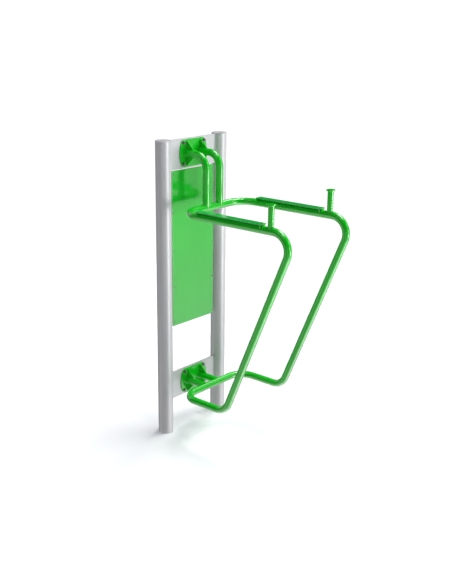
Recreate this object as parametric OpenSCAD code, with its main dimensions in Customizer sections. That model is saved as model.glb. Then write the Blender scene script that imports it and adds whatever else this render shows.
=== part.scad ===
// Outdoor leg raise station: two posts carry a back panel and a bent tube frame
// with armrests and upright hand grips. Lengths are in millimetres.
// The origin lies on the ground midway between the posts. +Z is up, +X is the
// right-hand post as seen from the user's side, and the user's side faces -Y.

/* [Posts] */
// Outer diameter of the posts
post_d = 101.6; // [88.9:0.1:114.3]
// Wall thickness of the posts
post_wall = 3.6; // [2.9:0.1:5]
// Distance between the axes of the two posts
post_spacing = 535; // [500:5:570]
// Height of the posts, caps included
post_h = 2000; // [1950:10:2200]
// Thickness of the cap plates
cap_t = 4; // [3:0.5:8]
// How far a cap plate stands out past its post
cap_lip = 1.5; // [0.5:0.5:4]

/* [Cross plates] */
// Height of the two cross plates
plate_h = 195; // [184:1:230]
// Thickness of the cross plates
plate_t = 10; // [8:1:15]
// Distance from the plane of the post axes forward to the cross plates' front faces
plate_front = 9; // [2:1:20]
// Height of the middle of the lower cross plate above the ground
lower_plate_z = 322; // [280:2:400]

/* [Back panel] */
// Height of the lower edge of the back panel above the ground
panel_bottom_z = 748; // [600:4:1000]
// Thickness of the back panel
panel_t = 12; // [8:1:15]
// Gap between each side of the panel and the post beside it
panel_side_gap = 17; // [10:1:25]
// Gap between the upper cross plate and the top of the panel
panel_top_gap = 5; // [3:1:20]
// Thickness of the two strips that carry the panel
strip_t = 5; // [4:0.5:8]
// How far each strip reaches behind the panel
strip_lap = 28; // [24:1:40]
// Distance from the panel's ends in to the ends of the strips
strip_end_gap = 8; // [2:1:15]
// Number of screws down each side of the panel
screw_n = 5; // [3:1:8]
// Distance from the panel's side edges in to its screws
screw_inset_x = 13; // [10:1:20]
// Distance from the panel's ends in to its end screws
screw_inset_z = 25; // [22:1:60]

/* [Mounting plates] */
// Greatest width of a mounting plate, across its bowed sides
mount_w = 256; // [236:2:300]
// Height of a mounting plate
mount_h = 176; // [164:2:190]
// Thickness of a mounting plate
mount_t = 8; // [6:1:12]
// Radius of a mounting plate's corners
mount_corner_r = 32; // [22:1:42]
// Radius of a mounting plate's bowed sides
mount_side_r = 180; // [150:5:400]
// Distance from the widest line of a mounting plate in to its bolts
bolt_inset_x = 32; // [28:1:42]
// Distance from the upper and lower edges of a mounting plate in to its bolts
bolt_inset_z = 20; // [17:1:30]

/* [Fasteners] */
// Shank diameter of the bolts of the mounting plates
bolt_d = 12; // [10:1:12]
// Shank diameter of the panel screws
screw_d = 6; // [5:0.5:7]
// Diametral clearance of bolts and screws in their holes
hole_play = 1; // [0.5:0.1:1.5]
// Diametral clearance between a shank and its nut
thread_play = 0.2; // [0.1:0.1:0.4]
// How far a shank stands out behind its nut
shank_tail_l = 4; // [2:1:8]

/* [Tube frame] */
// Outer diameter of the frame tubes
tube_d = 48.3; // [42.4:0.1:54]
// Wall thickness of the frame tubes
tube_wall = 2.9; // [2:0.1:4]
// Distance between the axes of the two arms
frame_w = 592; // [520:4:640]
// Distance from the middle of the upper cross plate down to the axes of the arms
arm_drop = 335.5; // [250:0.5:450]
// Distance from the plane of the post axes forward to the axis of the upper rear bar
upper_bar_reach = 184; // [174:2:240]
// Distance from the plane of the post axes forward to the axis of the lower cross bar
lower_bar_reach = 190; // [160:2:240]
// Distance forward to where the axes of an arm and its leg cross
arm_reach = 1074; // [950:4:1200]
// Lean of the legs from the vertical, in degrees
leg_lean = 22.5; // [18:0.5:26]
// Bend radius at the rear end of an arm
arm_rear_bend_r = 135; // [100:1:160]
// Bend radius between an arm and its leg
arm_front_bend_r = 107; // [90:1:130]
// Bend radius between a leg and its lower side bar
foot_front_bend_r = 108; // [80:1:130]
// Bend radius at the rear end of a lower side bar
foot_rear_bend_r = 116; // [90:1:150]
// Length of the sleeves inside the two joints of the frame
sleeve_l = 120; // [60:5:200]
// Wall thickness of those sleeves
sleeve_wall = 2.5; // [1.5:0.1:4]

/* [Hangers and gussets] */
// Distance between the axes of the two hanger tubes, and of the two stub tubes
hanger_spacing = 128; // [100:2:144]
// Bend radius of the hanger tubes
hanger_bend_r = 90; // [75:1:96]
// Length of a gusset along its tube
gusset_l = 56; // [40:1:66]
// Thickness of the gussets
gusset_t = 6; // [4:1:10]
// Width of the blunt tips of a gusset
gusset_tip = 5; // [3:1:10]
// Distance from the edge of a mounting plate in to a gusset
gusset_edge_gap = 8; // [4:1:16]

/* [Armrests] */
// Width of an armrest plate
rest_w = 55; // [52:1:80]
// Thickness of an armrest plate
rest_t = 6; // [4:0.5:10]
// Radius of the corners of an armrest plate
rest_corner_r = 6; // [2:1:20]
// Distance from a grip's axis back to the front end of the armrest plate
rest_front_gap = 54; // [40:1:120]
// Distance from the rear bend of an arm forward to the rear end of the armrest plate
rest_rear_gap = 3; // [0:1:60]
// Gap between the top of an arm and its armrest plate
rest_lift = 6; // [4:0.5:15]
// Thickness of the saddles under an armrest plate
saddle_t = 6; // [4:1:12]
// How far a saddle reaches down past the top of the arm
saddle_drop = 14; // [8:1:18]
// Width of a saddle's cheeks at their lower ends
saddle_cheek = 3; // [2:0.5:5]

/* [Grips] */
// Outer diameter of the grip tubes
grip_d = 38; // [32:1:42]
// Wall thickness of the grip tubes
grip_wall = 2.6; // [2:0.1:4]
// Height of the top of a grip above the axis of its arm
grip_h = 161; // [120:1:200]
// Distance from the front bend of an arm back to the grip's axis
grip_setback = 20; // [20:1:60]
// Diameter of the disc on top of a grip
disc_d = 56; // [48:1:80]
// Thickness of that disc
disc_t = 8; // [4:1:15]

/* [Seats] */
// Clearance where a piece seats on a round surface
seat_gap = 0.3; // [0.1:0.1:0.5]

/* [Hidden] */
$fn = 72;

// Proportions of standard hexagon fasteners, as shares of the shank diameter
hex_flats_share = 1.5;
hex_head_share = 0.625;
hex_nut_share = 0.83;
washer_d_share = 2;
washer_t_share = 0.2;

// Proportions of standard button heads, as shares of the shank diameter
button_d_share = 1.75;
button_h_share = 0.55;
socket_flats_share = 0.66;
socket_depth_share = 0.3;

// One overrun serves every cut
overrun = 5;

// How much further a cut turns where it ends in a bend, in degrees
overrun_turn = 3;

post_r = post_d / 2;
post_x = post_spacing / 2;
post_tube_h = post_h - cap_t;

upper_plate_z = post_tube_h - plate_h / 2;
mount_front = plate_front + mount_t;
bolt_x = mount_w / 2 - bolt_inset_x;
bolt_z = mount_h / 2 - bolt_inset_z;
bolt_hole_d = bolt_d + hole_play;
bolt_washer_t = bolt_d * washer_t_share;
bolt_grip = mount_t + plate_t;

panel_w = post_spacing - post_d - 2 * panel_side_gap;
panel_top_z = post_tube_h - plate_h - panel_top_gap;
panel_h = panel_top_z - panel_bottom_z;
screw_x = panel_w / 2 - screw_inset_x;
screw_hole_d = screw_d + hole_play;
screw_grip = panel_t + strip_t;
screw_pitch = (panel_h - 2 * screw_inset_z) / (screw_n - 1);

tube_r = tube_d / 2;
tube_inner_d = tube_d - 2 * tube_wall;
seat_r = tube_r + seat_gap;
arm_x = frame_w / 2;
arm_z = upper_plate_z - arm_drop;
hanger_x = hanger_spacing / 2;

// How far the straight runs that meet at a bend are cut short by it
function bend_cut(r, angle) = r * tan(angle / 2);

front_turn = 90 + leg_lean;
foot_turn = 90 - leg_lean;
front_cut = bend_cut(arm_front_bend_r, front_turn);
foot_cut = bend_cut(foot_front_bend_r, foot_turn);
leg_drop = arm_z - lower_plate_z;
leg_l = leg_drop / cos(leg_lean) - front_cut - foot_cut;
foot_reach = arm_reach - leg_drop * tan(leg_lean);

// The bends of an arm tube and of a foot tube, from the middle of the frame: the straight
// run before each bend, the roll that sets its direction, its radius and its angle
arm_bends = [
    [arm_x - arm_rear_bend_r, -90, arm_rear_bend_r, 90],
    [arm_reach - upper_bar_reach - arm_rear_bend_r - front_cut, 90, arm_front_bend_r, front_turn]
];
foot_bends = [
    [arm_x - foot_rear_bend_r, -90, foot_rear_bend_r, 90],
    [foot_reach - lower_bar_reach - foot_rear_bend_r - foot_cut, -90, foot_front_bend_r, foot_turn]
];

// The bend of a hanger tube, in the same form
hanger_bends = [
    [upper_bar_reach - mount_front - hanger_bend_r, -90, hanger_bend_r, 90]
];
hanger_end_run = arm_drop - hanger_bend_r;

grip_y = -(arm_reach - front_cut - grip_setback);
disc_z = arm_z + grip_h - disc_t;
rest_front_y = grip_y + rest_front_gap;
rest_rear_y = -(upper_bar_reach + arm_rear_bend_r + rest_rear_gap);
rest_l = rest_rear_y - rest_front_y;
rest_z = arm_z + tube_r + rest_lift;

post_color = "#b7babd";
frame_color = "#1c9a2c";
panel_color = "#57b85a";
fastener_color = "#8f9497";

// A round bar that starts at the origin along +Z, follows a table of bends and ends in
// a straight run, or in its last bend where that run is zero. A bar that cuts is longer
// by extra at both ends, or turns a little further where it ends in a bend.
module bent_bar(bends, end_run, d, extra) {
    bent_run(bends, end_run, d, extra, extra, 0);
}

module bent_run(bends, end_run, d, lead, extra, i) {
    if (i < len(bends)) {
        run = bends[i][0];
        roll = bends[i][1];
        r = bends[i][2];
        angle = bends[i][3];
        ends_here = i == len(bends) - 1 && end_run == 0;
        translate([0, 0, -lead])
            cylinder(d = d, h = lead + run);
        translate([0, 0, run])
            rotate([0, 0, roll])
                translate([r, 0, 0]) {
                    rotate([90, 0, 180])
                        rotate_extrude(angle = angle + (ends_here && extra > 0 ? overrun_turn : 0))
                            translate([r, 0])
                                circle(d = d);
                    rotate([0, angle, 0])
                        translate([-r, 0, 0])
                            bent_run(bends, end_run, d, 0, extra, i + 1);
                }
    } else if (end_run > 0) {
        cylinder(d = d, h = end_run + extra);
    }
}

module bent_tube(bends, end_run, d, wall) {
    difference() {
        bent_bar(bends, end_run, d, 0);
        bent_bar(bends, end_run, d - 2 * wall, overrun);
    }
}

// A plain tube along Z
module tube(d, wall, h) {
    difference() {
        cylinder(d = d, h = h);
        translate([0, 0, -overrun])
            cylinder(d = d - 2 * wall, h = h + 2 * overrun);
    }
}

module post(side) {
    color(post_color)
        translate([side * post_x, 0, 0])
            tube(post_d, post_wall, post_tube_h);
}

// A flat cap plate welded on top of a post
module post_cap(side) {
    color(post_color)
        translate([side * post_x, 0, post_tube_h])
            cylinder(r = post_r + cap_lip, h = cap_t);
}

// The space that the two posts take from what is welded between them
module post_seats(z, h) {
    for (side = [-1, 1])
        translate([side * post_x, 0, z - overrun])
            cylinder(r = post_r + seat_gap, h = h + 2 * overrun);
}

// Places for the four bolts round a mounting plate; local +Z points forward
// from the front face of the plate
module bolt_places(z) {
    for (side = [-1, 1], row = [-1, 1])
        translate([side * bolt_x, -mount_front, z + row * bolt_z])
            rotate([90, 0, 0])
                children();
}

module cross_plate(z) {
    color(post_color)
        difference() {
            translate([-post_x, -plate_front, z - plate_h / 2])
                cube([post_spacing, plate_t, plate_h]);
            post_seats(z - plate_h / 2, plate_h);
            bolt_places(z)
                translate([0, 0, -bolt_grip - overrun])
                    cylinder(d = bolt_hole_d, h = bolt_grip + 2 * overrun);
        }
}

// The outline of a mounting plate: straight ends, bowed sides and round corners
// that run into both without a step
module mounting_outline() {
    side_centre = mount_side_r - mount_w / 2;
    corner_z = mount_h / 2 - mount_corner_r;
    corner_x = sqrt(pow(mount_side_r - mount_corner_r, 2) - pow(corner_z, 2)) - side_centre;
    far = 2 * [corner_x + side_centre, corner_z];
    square([2 * corner_x, mount_h], center = true);
    for (side = [-1, 1]) {
        for (row = [-1, 1])
            translate([side * corner_x, row * corner_z])
                circle(r = mount_corner_r);
        intersection() {
            translate([-side * side_centre, 0])
                circle(r = mount_side_r, $fn = 360);
            polygon([
                [-side * side_centre, 0],
                [side * (far.x - side_centre), far.y],
                [side * (far.x - side_centre), -far.y]
            ]);
        }
    }
}

module mounting_plate(z) {
    color(frame_color)
        difference() {
            translate([0, -plate_front, z])
                rotate([90, 0, 0])
                    linear_extrude(mount_t)
                        mounting_outline();
            bolt_places(z)
                translate([0, 0, -mount_t - overrun])
                    cylinder(d = bolt_hole_d, h = mount_t + 2 * overrun);
        }
}

module hexagon(flats, h) {
    cylinder(d = flats / cos(30), h = h, $fn = 6);
}

module washer(d, h) {
    difference() {
        cylinder(d = d * washer_d_share, h = h);
        translate([0, 0, -overrun])
            cylinder(d = d + hole_play, h = h + 2 * overrun);
    }
}

module hex_nut(d) {
    nut_h = d * hex_nut_share;
    difference() {
        hexagon(d * hex_flats_share, nut_h);
        translate([0, 0, -overrun])
            cylinder(d = d + thread_play, h = nut_h + 2 * overrun);
    }
}

// Bolts, washers and nuts that hold a mounting plate to its cross plate
module plate_bolts(z) {
    shank_l = 2 * bolt_washer_t + bolt_grip + bolt_d * hex_nut_share + shank_tail_l;
    color(fastener_color)
        bolt_places(z)
            translate([0, 0, bolt_washer_t]) {
                hexagon(bolt_d * hex_flats_share, bolt_d * hex_head_share);
                translate([0, 0, -shank_l])
                    cylinder(d = bolt_d, h = shank_l);
            }
}

module plate_washers(z) {
    color(fastener_color)
        bolt_places(z)
            for (seat = [0, -bolt_grip - bolt_washer_t])
                translate([0, 0, seat])
                    washer(bolt_d, bolt_washer_t);
}

module plate_nuts(z) {
    color(fastener_color)
        bolt_places(z)
            translate([0, 0, -bolt_grip - bolt_washer_t - bolt_d * hex_nut_share])
                hex_nut(bolt_d);
}

// Places for the screws down both sides of the panel; local +Z points forward
// from the front face of the panel
module screw_places() {
    for (side = [-1, 1], i = [0:screw_n - 1])
        translate([side * screw_x, -panel_t, panel_bottom_z + screw_inset_z + i * screw_pitch])
            rotate([90, 0, 0])
                children();
}

module screw_holes() {
    screw_places()
        translate([0, 0, -screw_grip - overrun])
            cylinder(d = screw_hole_d, h = screw_grip + 2 * overrun);
}

// A strip welded to a post, with its front face on the plane of the post axes
module panel_strip(side) {
    strip_h = panel_h - 2 * strip_end_gap;
    strip_z = panel_bottom_z + strip_end_gap;
    inner_x = panel_w / 2 - strip_lap;
    color(post_color)
        difference() {
            translate([side > 0 ? inner_x : -post_x, 0, strip_z])
                cube([post_x - inner_x, strip_t, strip_h]);
            post_seats(strip_z, strip_h);
            screw_holes();
        }
}

module back_panel() {
    color(panel_color)
        difference() {
            translate([-panel_w / 2, -panel_t, panel_bottom_z])
                cube([panel_w, panel_t, panel_h]);
            screw_holes();
        }
}

// A low domed head with a hexagon socket, standing on z = 0
module button_head(d) {
    head_r = d * button_d_share / 2;
    head_h = d * button_h_share;
    dome_r = (pow(head_r, 2) + pow(head_h, 2)) / (2 * head_h);
    difference() {
        intersection() {
            translate([0, 0, head_h - dome_r])
                sphere(r = dome_r);
            cylinder(r = head_r, h = head_h);
        }
        translate([0, 0, head_h - d * socket_depth_share])
            hexagon(d * socket_flats_share, head_h);
    }
}

module panel_screws() {
    shank_l = screw_grip + screw_d * washer_t_share + screw_d * hex_nut_share + shank_tail_l;
    color(fastener_color)
        screw_places() {
            button_head(screw_d);
            translate([0, 0, -shank_l])
                cylinder(d = screw_d, h = shank_l);
        }
}

module panel_washers() {
    color(fastener_color)
        screw_places()
            translate([0, 0, -screw_grip - screw_d * washer_t_share])
                washer(screw_d, screw_d * washer_t_share);
}

module panel_nuts() {
    color(fastener_color)
        screw_places()
            translate([0, 0, -screw_grip - screw_d * (washer_t_share + hex_nut_share)])
                hex_nut(screw_d);
}

// Half of the upper rear bar, an arm and the bend down to its leg
module arm_tube(side) {
    color(frame_color)
        mirror([side < 0 ? 1 : 0, 0, 0])
            translate([0, -upper_bar_reach, arm_z])
                rotate([0, 90, 0])
                    bent_tube(arm_bends, 0, tube_d, tube_wall);
}

module leg_tube(side) {
    color(frame_color)
        translate([side * arm_x, -arm_reach, arm_z])
            rotate([leg_lean, 0, 0])
                translate([0, 0, -front_cut - leg_l])
                    tube(tube_d, tube_wall, leg_l);
}

// Half of the lower cross bar, a lower side bar and the bend up to its leg
module foot_tube(side) {
    color(frame_color)
        mirror([side < 0 ? 1 : 0, 0, 0])
            translate([0, -lower_bar_reach, lower_plate_z])
                rotate([0, 90, 0])
                    bent_tube(foot_bends, 0, tube_d, tube_wall);
}

// The space that a cross bar of the frame takes from the tubes that land on it
module cross_bar_seat(reach, z) {
    translate([-arm_x, -reach, z])
        rotate([0, 90, 0])
            cylinder(r = seat_r, h = frame_w);
}

module splice_sleeve(reach, z) {
    color(fastener_color)
        translate([-sleeve_l / 2, -reach, z])
            rotate([0, 90, 0])
                tube(tube_inner_d - 2 * seat_gap, sleeve_wall, sleeve_l);
}

module hanger_tube(side) {
    color(frame_color)
        difference() {
            translate([side * hanger_x, -mount_front, upper_plate_z])
                rotate([90, 0, 0])
                    bent_tube(hanger_bends, hanger_end_run, tube_d, tube_wall);
            cross_bar_seat(upper_bar_reach, arm_z);
        }
}

module stub_tube(side) {
    color(frame_color)
        difference() {
            translate([side * hanger_x, -mount_front, lower_plate_z])
                rotate([90, 0, 0])
                    tube(tube_d, tube_wall, lower_bar_reach - mount_front);
            cross_bar_seat(lower_bar_reach, lower_plate_z);
        }
}

// Triangular plates above and below a tube, where it leaves its mounting plate
module gussets(side, z) {
    rise = mount_h / 2 - gusset_edge_gap;
    color(frame_color)
        for (row = [0, 1])
            translate([side * hanger_x - gusset_t / 2, -mount_front, z])
                mirror([0, 0, row])
                    rotate([90, 0, 90])
                        linear_extrude(gusset_t)
                            polygon([
                                [0, tube_r],
                                [0, rise],
                                [-gusset_tip, rise],
                                [-gusset_l, tube_r + gusset_tip],
                                [-gusset_l, tube_r]
                            ]);
}

// A flat plate with round corners that lies along the top of an arm
module armrest_plate(side) {
    inner_w = rest_w - 2 * rest_corner_r;
    inner_l = rest_l - 2 * rest_corner_r;
    color(frame_color)
        translate([side * arm_x, (rest_front_y + rest_rear_y) / 2, rest_z])
            linear_extrude(rest_t) {
                square([rest_w, inner_l], center = true);
                square([inner_w, rest_l], center = true);
                for (x = [-1, 1], y = [-1, 1])
                    translate([x * inner_w / 2, y * inner_l / 2])
                        circle(r = rest_corner_r);
            }
}

// Saddles that straddle an arm and carry the two ends of its armrest plate
module armrest_saddles(side) {
    cheek_z = tube_r - saddle_drop;
    cheek_x = sqrt(pow(seat_r, 2) - pow(cheek_z, 2)) + saddle_cheek;
    top_x = rest_w / 2;
    color(frame_color)
        for (y = [rest_front_y + rest_corner_r, rest_rear_y - rest_corner_r - saddle_t])
            translate([side * arm_x, y, arm_z])
                rotate([90, 0, 180])
                    linear_extrude(saddle_t)
                        difference() {
                            polygon([
                                [-top_x, tube_r + rest_lift],
                                [-cheek_x, cheek_z],
                                [cheek_x, cheek_z],
                                [top_x, tube_r + rest_lift]
                            ]);
                            circle(r = seat_r);
                        }
}

module grip_tube(side) {
    color(frame_color)
        difference() {
            translate([side * arm_x, grip_y, arm_z])
                tube(grip_d, grip_wall, grip_h - disc_t);
            translate([side * arm_x, grip_y - grip_d, arm_z])
                rotate([-90, 0, 0])
                    cylinder(r = seat_r, h = 2 * grip_d);
        }
}

module grip_disc(side) {
    color(frame_color)
        translate([side * arm_x, grip_y, disc_z])
            cylinder(d = disc_d, h = disc_t);
}

post(-1);  // left_post
post(1);  // right_post
post_cap(-1);  // left_post_cap
post_cap(1);  // right_post_cap
cross_plate(upper_plate_z);  // upper_cross_plate
cross_plate(lower_plate_z);  // lower_cross_plate
panel_strip(-1);  // left_panel_strip
panel_strip(1);  // right_panel_strip
back_panel();
panel_screws();
panel_washers();
panel_nuts();
mounting_plate(upper_plate_z);  // upper_mounting_plate
mounting_plate(lower_plate_z);  // lower_mounting_plate
plate_bolts(upper_plate_z);  // upper_plate_bolts
plate_washers(upper_plate_z);  // upper_plate_washers
plate_nuts(upper_plate_z);  // upper_plate_nuts
plate_bolts(lower_plate_z);  // lower_plate_bolts
plate_washers(lower_plate_z);  // lower_plate_washers
plate_nuts(lower_plate_z);  // lower_plate_nuts
hanger_tube(-1);  // left_hanger_tube
hanger_tube(1);  // right_hanger_tube
stub_tube(-1);  // left_stub_tube
stub_tube(1);  // right_stub_tube
gussets(-1, upper_plate_z);  // upper_left_gussets
gussets(1, upper_plate_z);  // upper_right_gussets
gussets(-1, lower_plate_z);  // lower_left_gussets
gussets(1, lower_plate_z);  // lower_right_gussets
arm_tube(-1);  // left_arm_tube
arm_tube(1);  // right_arm_tube
leg_tube(-1);  // left_leg_tube
leg_tube(1);  // right_leg_tube
foot_tube(-1);  // left_foot_tube
foot_tube(1);  // right_foot_tube
splice_sleeve(upper_bar_reach, arm_z);  // upper_splice_sleeve
splice_sleeve(lower_bar_reach, lower_plate_z);  // lower_splice_sleeve
armrest_plate(-1);  // left_armrest_plate
armrest_plate(1);  // right_armrest_plate
armrest_saddles(-1);  // left_armrest_saddles
armrest_saddles(1);  // right_armrest_saddles
grip_tube(-1);  // left_grip_tube
grip_tube(1);  // right_grip_tube
grip_disc(-1);  // left_grip_disc
grip_disc(1);  // right_grip_disc
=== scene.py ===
"""Outdoor leg raise station: the visible pieces, their finishes and a plain studio.

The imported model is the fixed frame. Everything here is in metres in that frame: +Z is up,
+X is the right-hand post as seen from the user's side, and the user's side faces -Y.
"""

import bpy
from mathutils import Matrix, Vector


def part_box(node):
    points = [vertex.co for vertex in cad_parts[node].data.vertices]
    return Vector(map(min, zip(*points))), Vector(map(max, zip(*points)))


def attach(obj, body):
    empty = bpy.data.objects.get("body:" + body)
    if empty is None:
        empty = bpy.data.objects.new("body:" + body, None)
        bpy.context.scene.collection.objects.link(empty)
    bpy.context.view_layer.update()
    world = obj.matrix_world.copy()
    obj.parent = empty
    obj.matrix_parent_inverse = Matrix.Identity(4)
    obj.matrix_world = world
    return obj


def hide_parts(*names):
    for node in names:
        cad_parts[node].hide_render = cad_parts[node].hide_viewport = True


bl_info = {
    "name": "Outdoor leg raise station",
    "version": (1, 0, 0),
    "blender": (4, 5, 0),
    "location": "View3D > Sidebar > Station",
    "description": "Builds the visible pieces, finishes and studio of an outdoor leg raise station",
    "category": "Object",
}

import math

import bmesh
import bpy
from bpy.props import FloatProperty, FloatVectorProperty, IntProperty, PointerProperty
from mathutils import Matrix, Vector

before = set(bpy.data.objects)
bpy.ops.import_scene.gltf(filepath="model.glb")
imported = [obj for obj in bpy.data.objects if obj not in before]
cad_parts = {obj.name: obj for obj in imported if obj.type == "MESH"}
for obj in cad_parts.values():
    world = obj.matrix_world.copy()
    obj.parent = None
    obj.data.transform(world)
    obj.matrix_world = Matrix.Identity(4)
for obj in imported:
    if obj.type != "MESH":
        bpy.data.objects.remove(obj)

MM = 0.001
SIDES = {"left": -1, "right": 1}
LEVELS = ("upper", "lower")
PHOTO_WIDTH = 452
PHOTO_HEIGHT = 584
ACROSS = Vector((1, 0, 0))
ALONG = Vector((0, 1, 0))
UP = Vector((0, 0, 1))

# Turns a plate drawn flat so that it stands and faces the user, its thickness towards -Y
STANDING = Matrix.Rotation(math.pi / 2, 4, "X")
# Turns a standing plate edge-on, so that its drawing's X runs towards -Y
EDGE_ON = Matrix.Rotation(-math.pi / 2, 4, "Z") @ STANDING

# Proportions of standard hexagon and button-head fasteners, as shares of the shank diameter
HEX_FLATS_SHARE = 1.5
HEX_HEAD_SHARE = 0.625
NUT_SHARE = 0.83
WASHER_SHARE = 0.2
BUTTON_D_SHARE = 1.75
BUTTON_H_SHARE = 0.55
SOCKET_FLATS_SHARE = 0.66
SOCKET_DEPTH_SHARE = 0.3
THREAD_DEPTH_SHARE = 0.6

# The cone that turns off the corners of a hexagon: its rim as a share of the flats, its slope
HEX_RIM_SHARE = 0.475
HEX_SLOPE = math.tan(math.radians(30))
FASTENER_SIDES = 36

# How deep a weld bead's axis lies in what it joins, as a share of its radius
BEAD_SINK = 0.3


def srgb(code):
    """A colour written as #RRGGBB, turned to the linear values that Blender works in."""
    parts = [int(code[i:i + 2], 16) / 255 for i in (1, 3, 5)]
    return [c / 12.92 if c <= 0.04045 else ((c + 0.055) / 1.055) ** 2.4 for c in parts]


def centre(node):
    """The middle of a CAD node's box."""
    low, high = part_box(node)
    return (low + high) / 2


# Sizes, finishes and studio


def length_setting(name, size_mm, description):
    """A property that holds a length, with its default given in mm."""
    return FloatProperty(
        name=name, description=description, default=size_mm * MM, unit="LENGTH")


def angle_setting(name, degrees, description):
    """A property that holds an angle, with its default given in degrees."""
    return FloatProperty(
        name=name, description=description, default=math.radians(degrees), subtype="ANGLE")


def colour_setting(name, code, description):
    """A property that holds a colour, with its default given as #RRGGBB."""
    return FloatVectorProperty(
        name=name, description=description, default=srgb(code), size=3, min=0, max=1,
        subtype="COLOR")


class StationSizes(bpy.types.PropertyGroup):
    """Sizes that the boxes of the CAD nodes don't give."""

    leg_lean: angle_setting("Leg lean", 22.5, "Lean of the legs from the vertical")
    arm_rear_bend: length_setting("Arm rear bend", 135, "Bend radius at the rear of an arm")
    arm_front_bend: length_setting("Arm front bend", 107, "Bend radius from an arm to its leg")
    foot_front_bend: length_setting(
        "Foot front bend", 108, "Bend radius from a leg to its lower side bar")
    foot_rear_bend: length_setting(
        "Foot rear bend", 116, "Bend radius at the rear of a lower side bar")
    hanger_bend: length_setting("Hanger bend", 90, "Bend radius of the hanger tubes")
    frame_wall: length_setting("Frame tube wall", 2.9, "Wall thickness of the frame tubes")
    grip_wall: length_setting("Grip wall", 2.6, "Wall thickness of the grip tubes")
    post_wall: length_setting("Post wall", 3.6, "Wall thickness of the posts")
    mount_corner: length_setting(
        "Mounting plate corner", 32, "Corner radius of the mounting plates")
    mount_side: length_setting(
        "Mounting plate side", 180, "Radius of the bowed sides of the mounting plates")
    gusset_tip: length_setting("Gusset tip", 5, "Width of the cut-off tips of the gussets")
    rest_corner: length_setting("Armrest corner", 6, "Corner radius of the armrest plates")
    saddle: length_setting("Saddle", 6, "Thickness of the saddles under the armrests")
    saddle_cheek: length_setting("Saddle cheek", 3, "Width of a saddle's two lower ends")
    bolt: length_setting("Bolt", 12, "Thread diameter of the mounting bolts")
    bolt_pitch: length_setting("Bolt pitch", 1.75, "Thread pitch of the mounting bolts")
    screw: length_setting("Screw", 6, "Thread diameter of the panel screws")
    screw_pitch: length_setting("Screw pitch", 1, "Thread pitch of the panel screws")
    screw_count: IntProperty(
        name="Screws a side", description="Number of screws down each side of the panel",
        default=5, min=2)
    bead: length_setting("Weld bead", 3, "Radius of an ordinary weld bead")
    ripple: length_setting("Weld ripple", 4, "Distance between the ripples of a weld bead")
    soft_edge: length_setting("Plate edge", 1, "Rounding of the edges of cut steel plates")
    panel_edge: length_setting("Panel edge", 1.8, "Rounding of the edges of the back panel")
    tube_sides: IntProperty(
        name="Tube sides", description="Number of faces round a tube", default=64, min=24)


class StationFinish(bpy.types.PropertyGroup):
    """Colours of the finishes."""

    frame_green: colour_setting(
        "Frame green", "#0BC51A", "Gloss powder coat of the tube frame")
    armrest_green: colour_setting(
        "Armrest green", "#22BE4C", "Gloss powder coat of the armrests")
    panel_green: colour_setting("Panel green", "#10C526", "Faces of the back panel")
    panel_core: colour_setting("Panel core", "#9EDC98", "Machined edges of the back panel")
    post_grey: colour_setting(
        "Post grey", "#C6C6CA", "Satin powder coat of the posts and cross plates")
    stainless: colour_setting(
        "Stainless steel", "#77797B", "Bolts, screws, washers and nuts")
    bare_steel: colour_setting(
        "Bare steel", "#77736E", "Sleeves hidden in the joints of the frame")


class StudioSettings(bpy.types.PropertyGroup):
    """Camera, floor and light."""

    camera_azimuth: angle_setting(
        "Camera azimuth", -47.5, "Direction of the camera round the station")
    camera_elevation: angle_setting(
        "Camera elevation", 17.25, "Height of the camera above the horizon")
    camera_distance: length_setting(
        "Camera distance", 6000, "Distance from the camera to its target")
    camera_target: FloatVectorProperty(
        name="Camera target", description="Point on the camera's axis",
        default=(-0.1600, -0.1914, 1.0190), size=3, subtype="TRANSLATION")
    focal_length: FloatProperty(
        name="Focal length", description="Focal length on a 36 mm sensor, in mm", default=56.56)
    axis_column: FloatProperty(
        name="Axis column", description="Pixel column of the camera's axis", default=196.94)
    floor_radius: length_setting("Floor radius", 4200, "Radius of the round floor")
    light: FloatProperty(
        name="Light", description="Strength of all studio lights together", default=1.0, min=0)


# Soft lights round the station: name, azimuth, elevation, sharpness, strength.
# Azimuth 0 is in front of the user's side and 90 is on the right. A light is about 70 degrees
# across at a sharpness of 4, 35 at 16, 17 at 70, 12 at 150, and 6 at 500.
LIGHTS = (
    ("key", 78, 66, 36, 16.5),
    ("top spot", -20, 67, 500, 26.0),
    ("right spot", 105, 38, 300, 18.0),
    ("front key", 38, 28, 70, 5.0),
    ("right wall", 80, 28, 70, 1.5),
    ("strip low left", 16, -13, 120, 14.0),
    ("strip low right", 29, -13, 120, 14.0),
    ("strip high", 12, 6, 150, 12.0),
    ("front low", 10, -45, 16, 5.4),
    ("panel low", 55, -28, 16, 1.6),
    ("right low", 90, -12, 16, 1.1),
    ("below", 0, -90, 4, 3.8),
    ("left low", 235, -25, 16, 1.5),
    ("left front", -60, -12, 16, 1.0),
    ("left top", 270, 45, 16, 1.0),
    ("rear wall", 180, 15, 16, 1.8),
)


# Paths


def ring(place, radius, count):
    """A circle of points in one frame of a path."""
    point, side, up = place
    turns = [math.tau * k / count for k in range(count)]
    return [point + side * radius * math.cos(t) + up * radius * math.sin(t) for t in turns]


def circle(middle, axis, radius):
    """A round path."""
    count = 72
    side = axis.orthogonal().normalized()
    return ring((middle, side, axis.cross(side)), radius, count)


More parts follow.
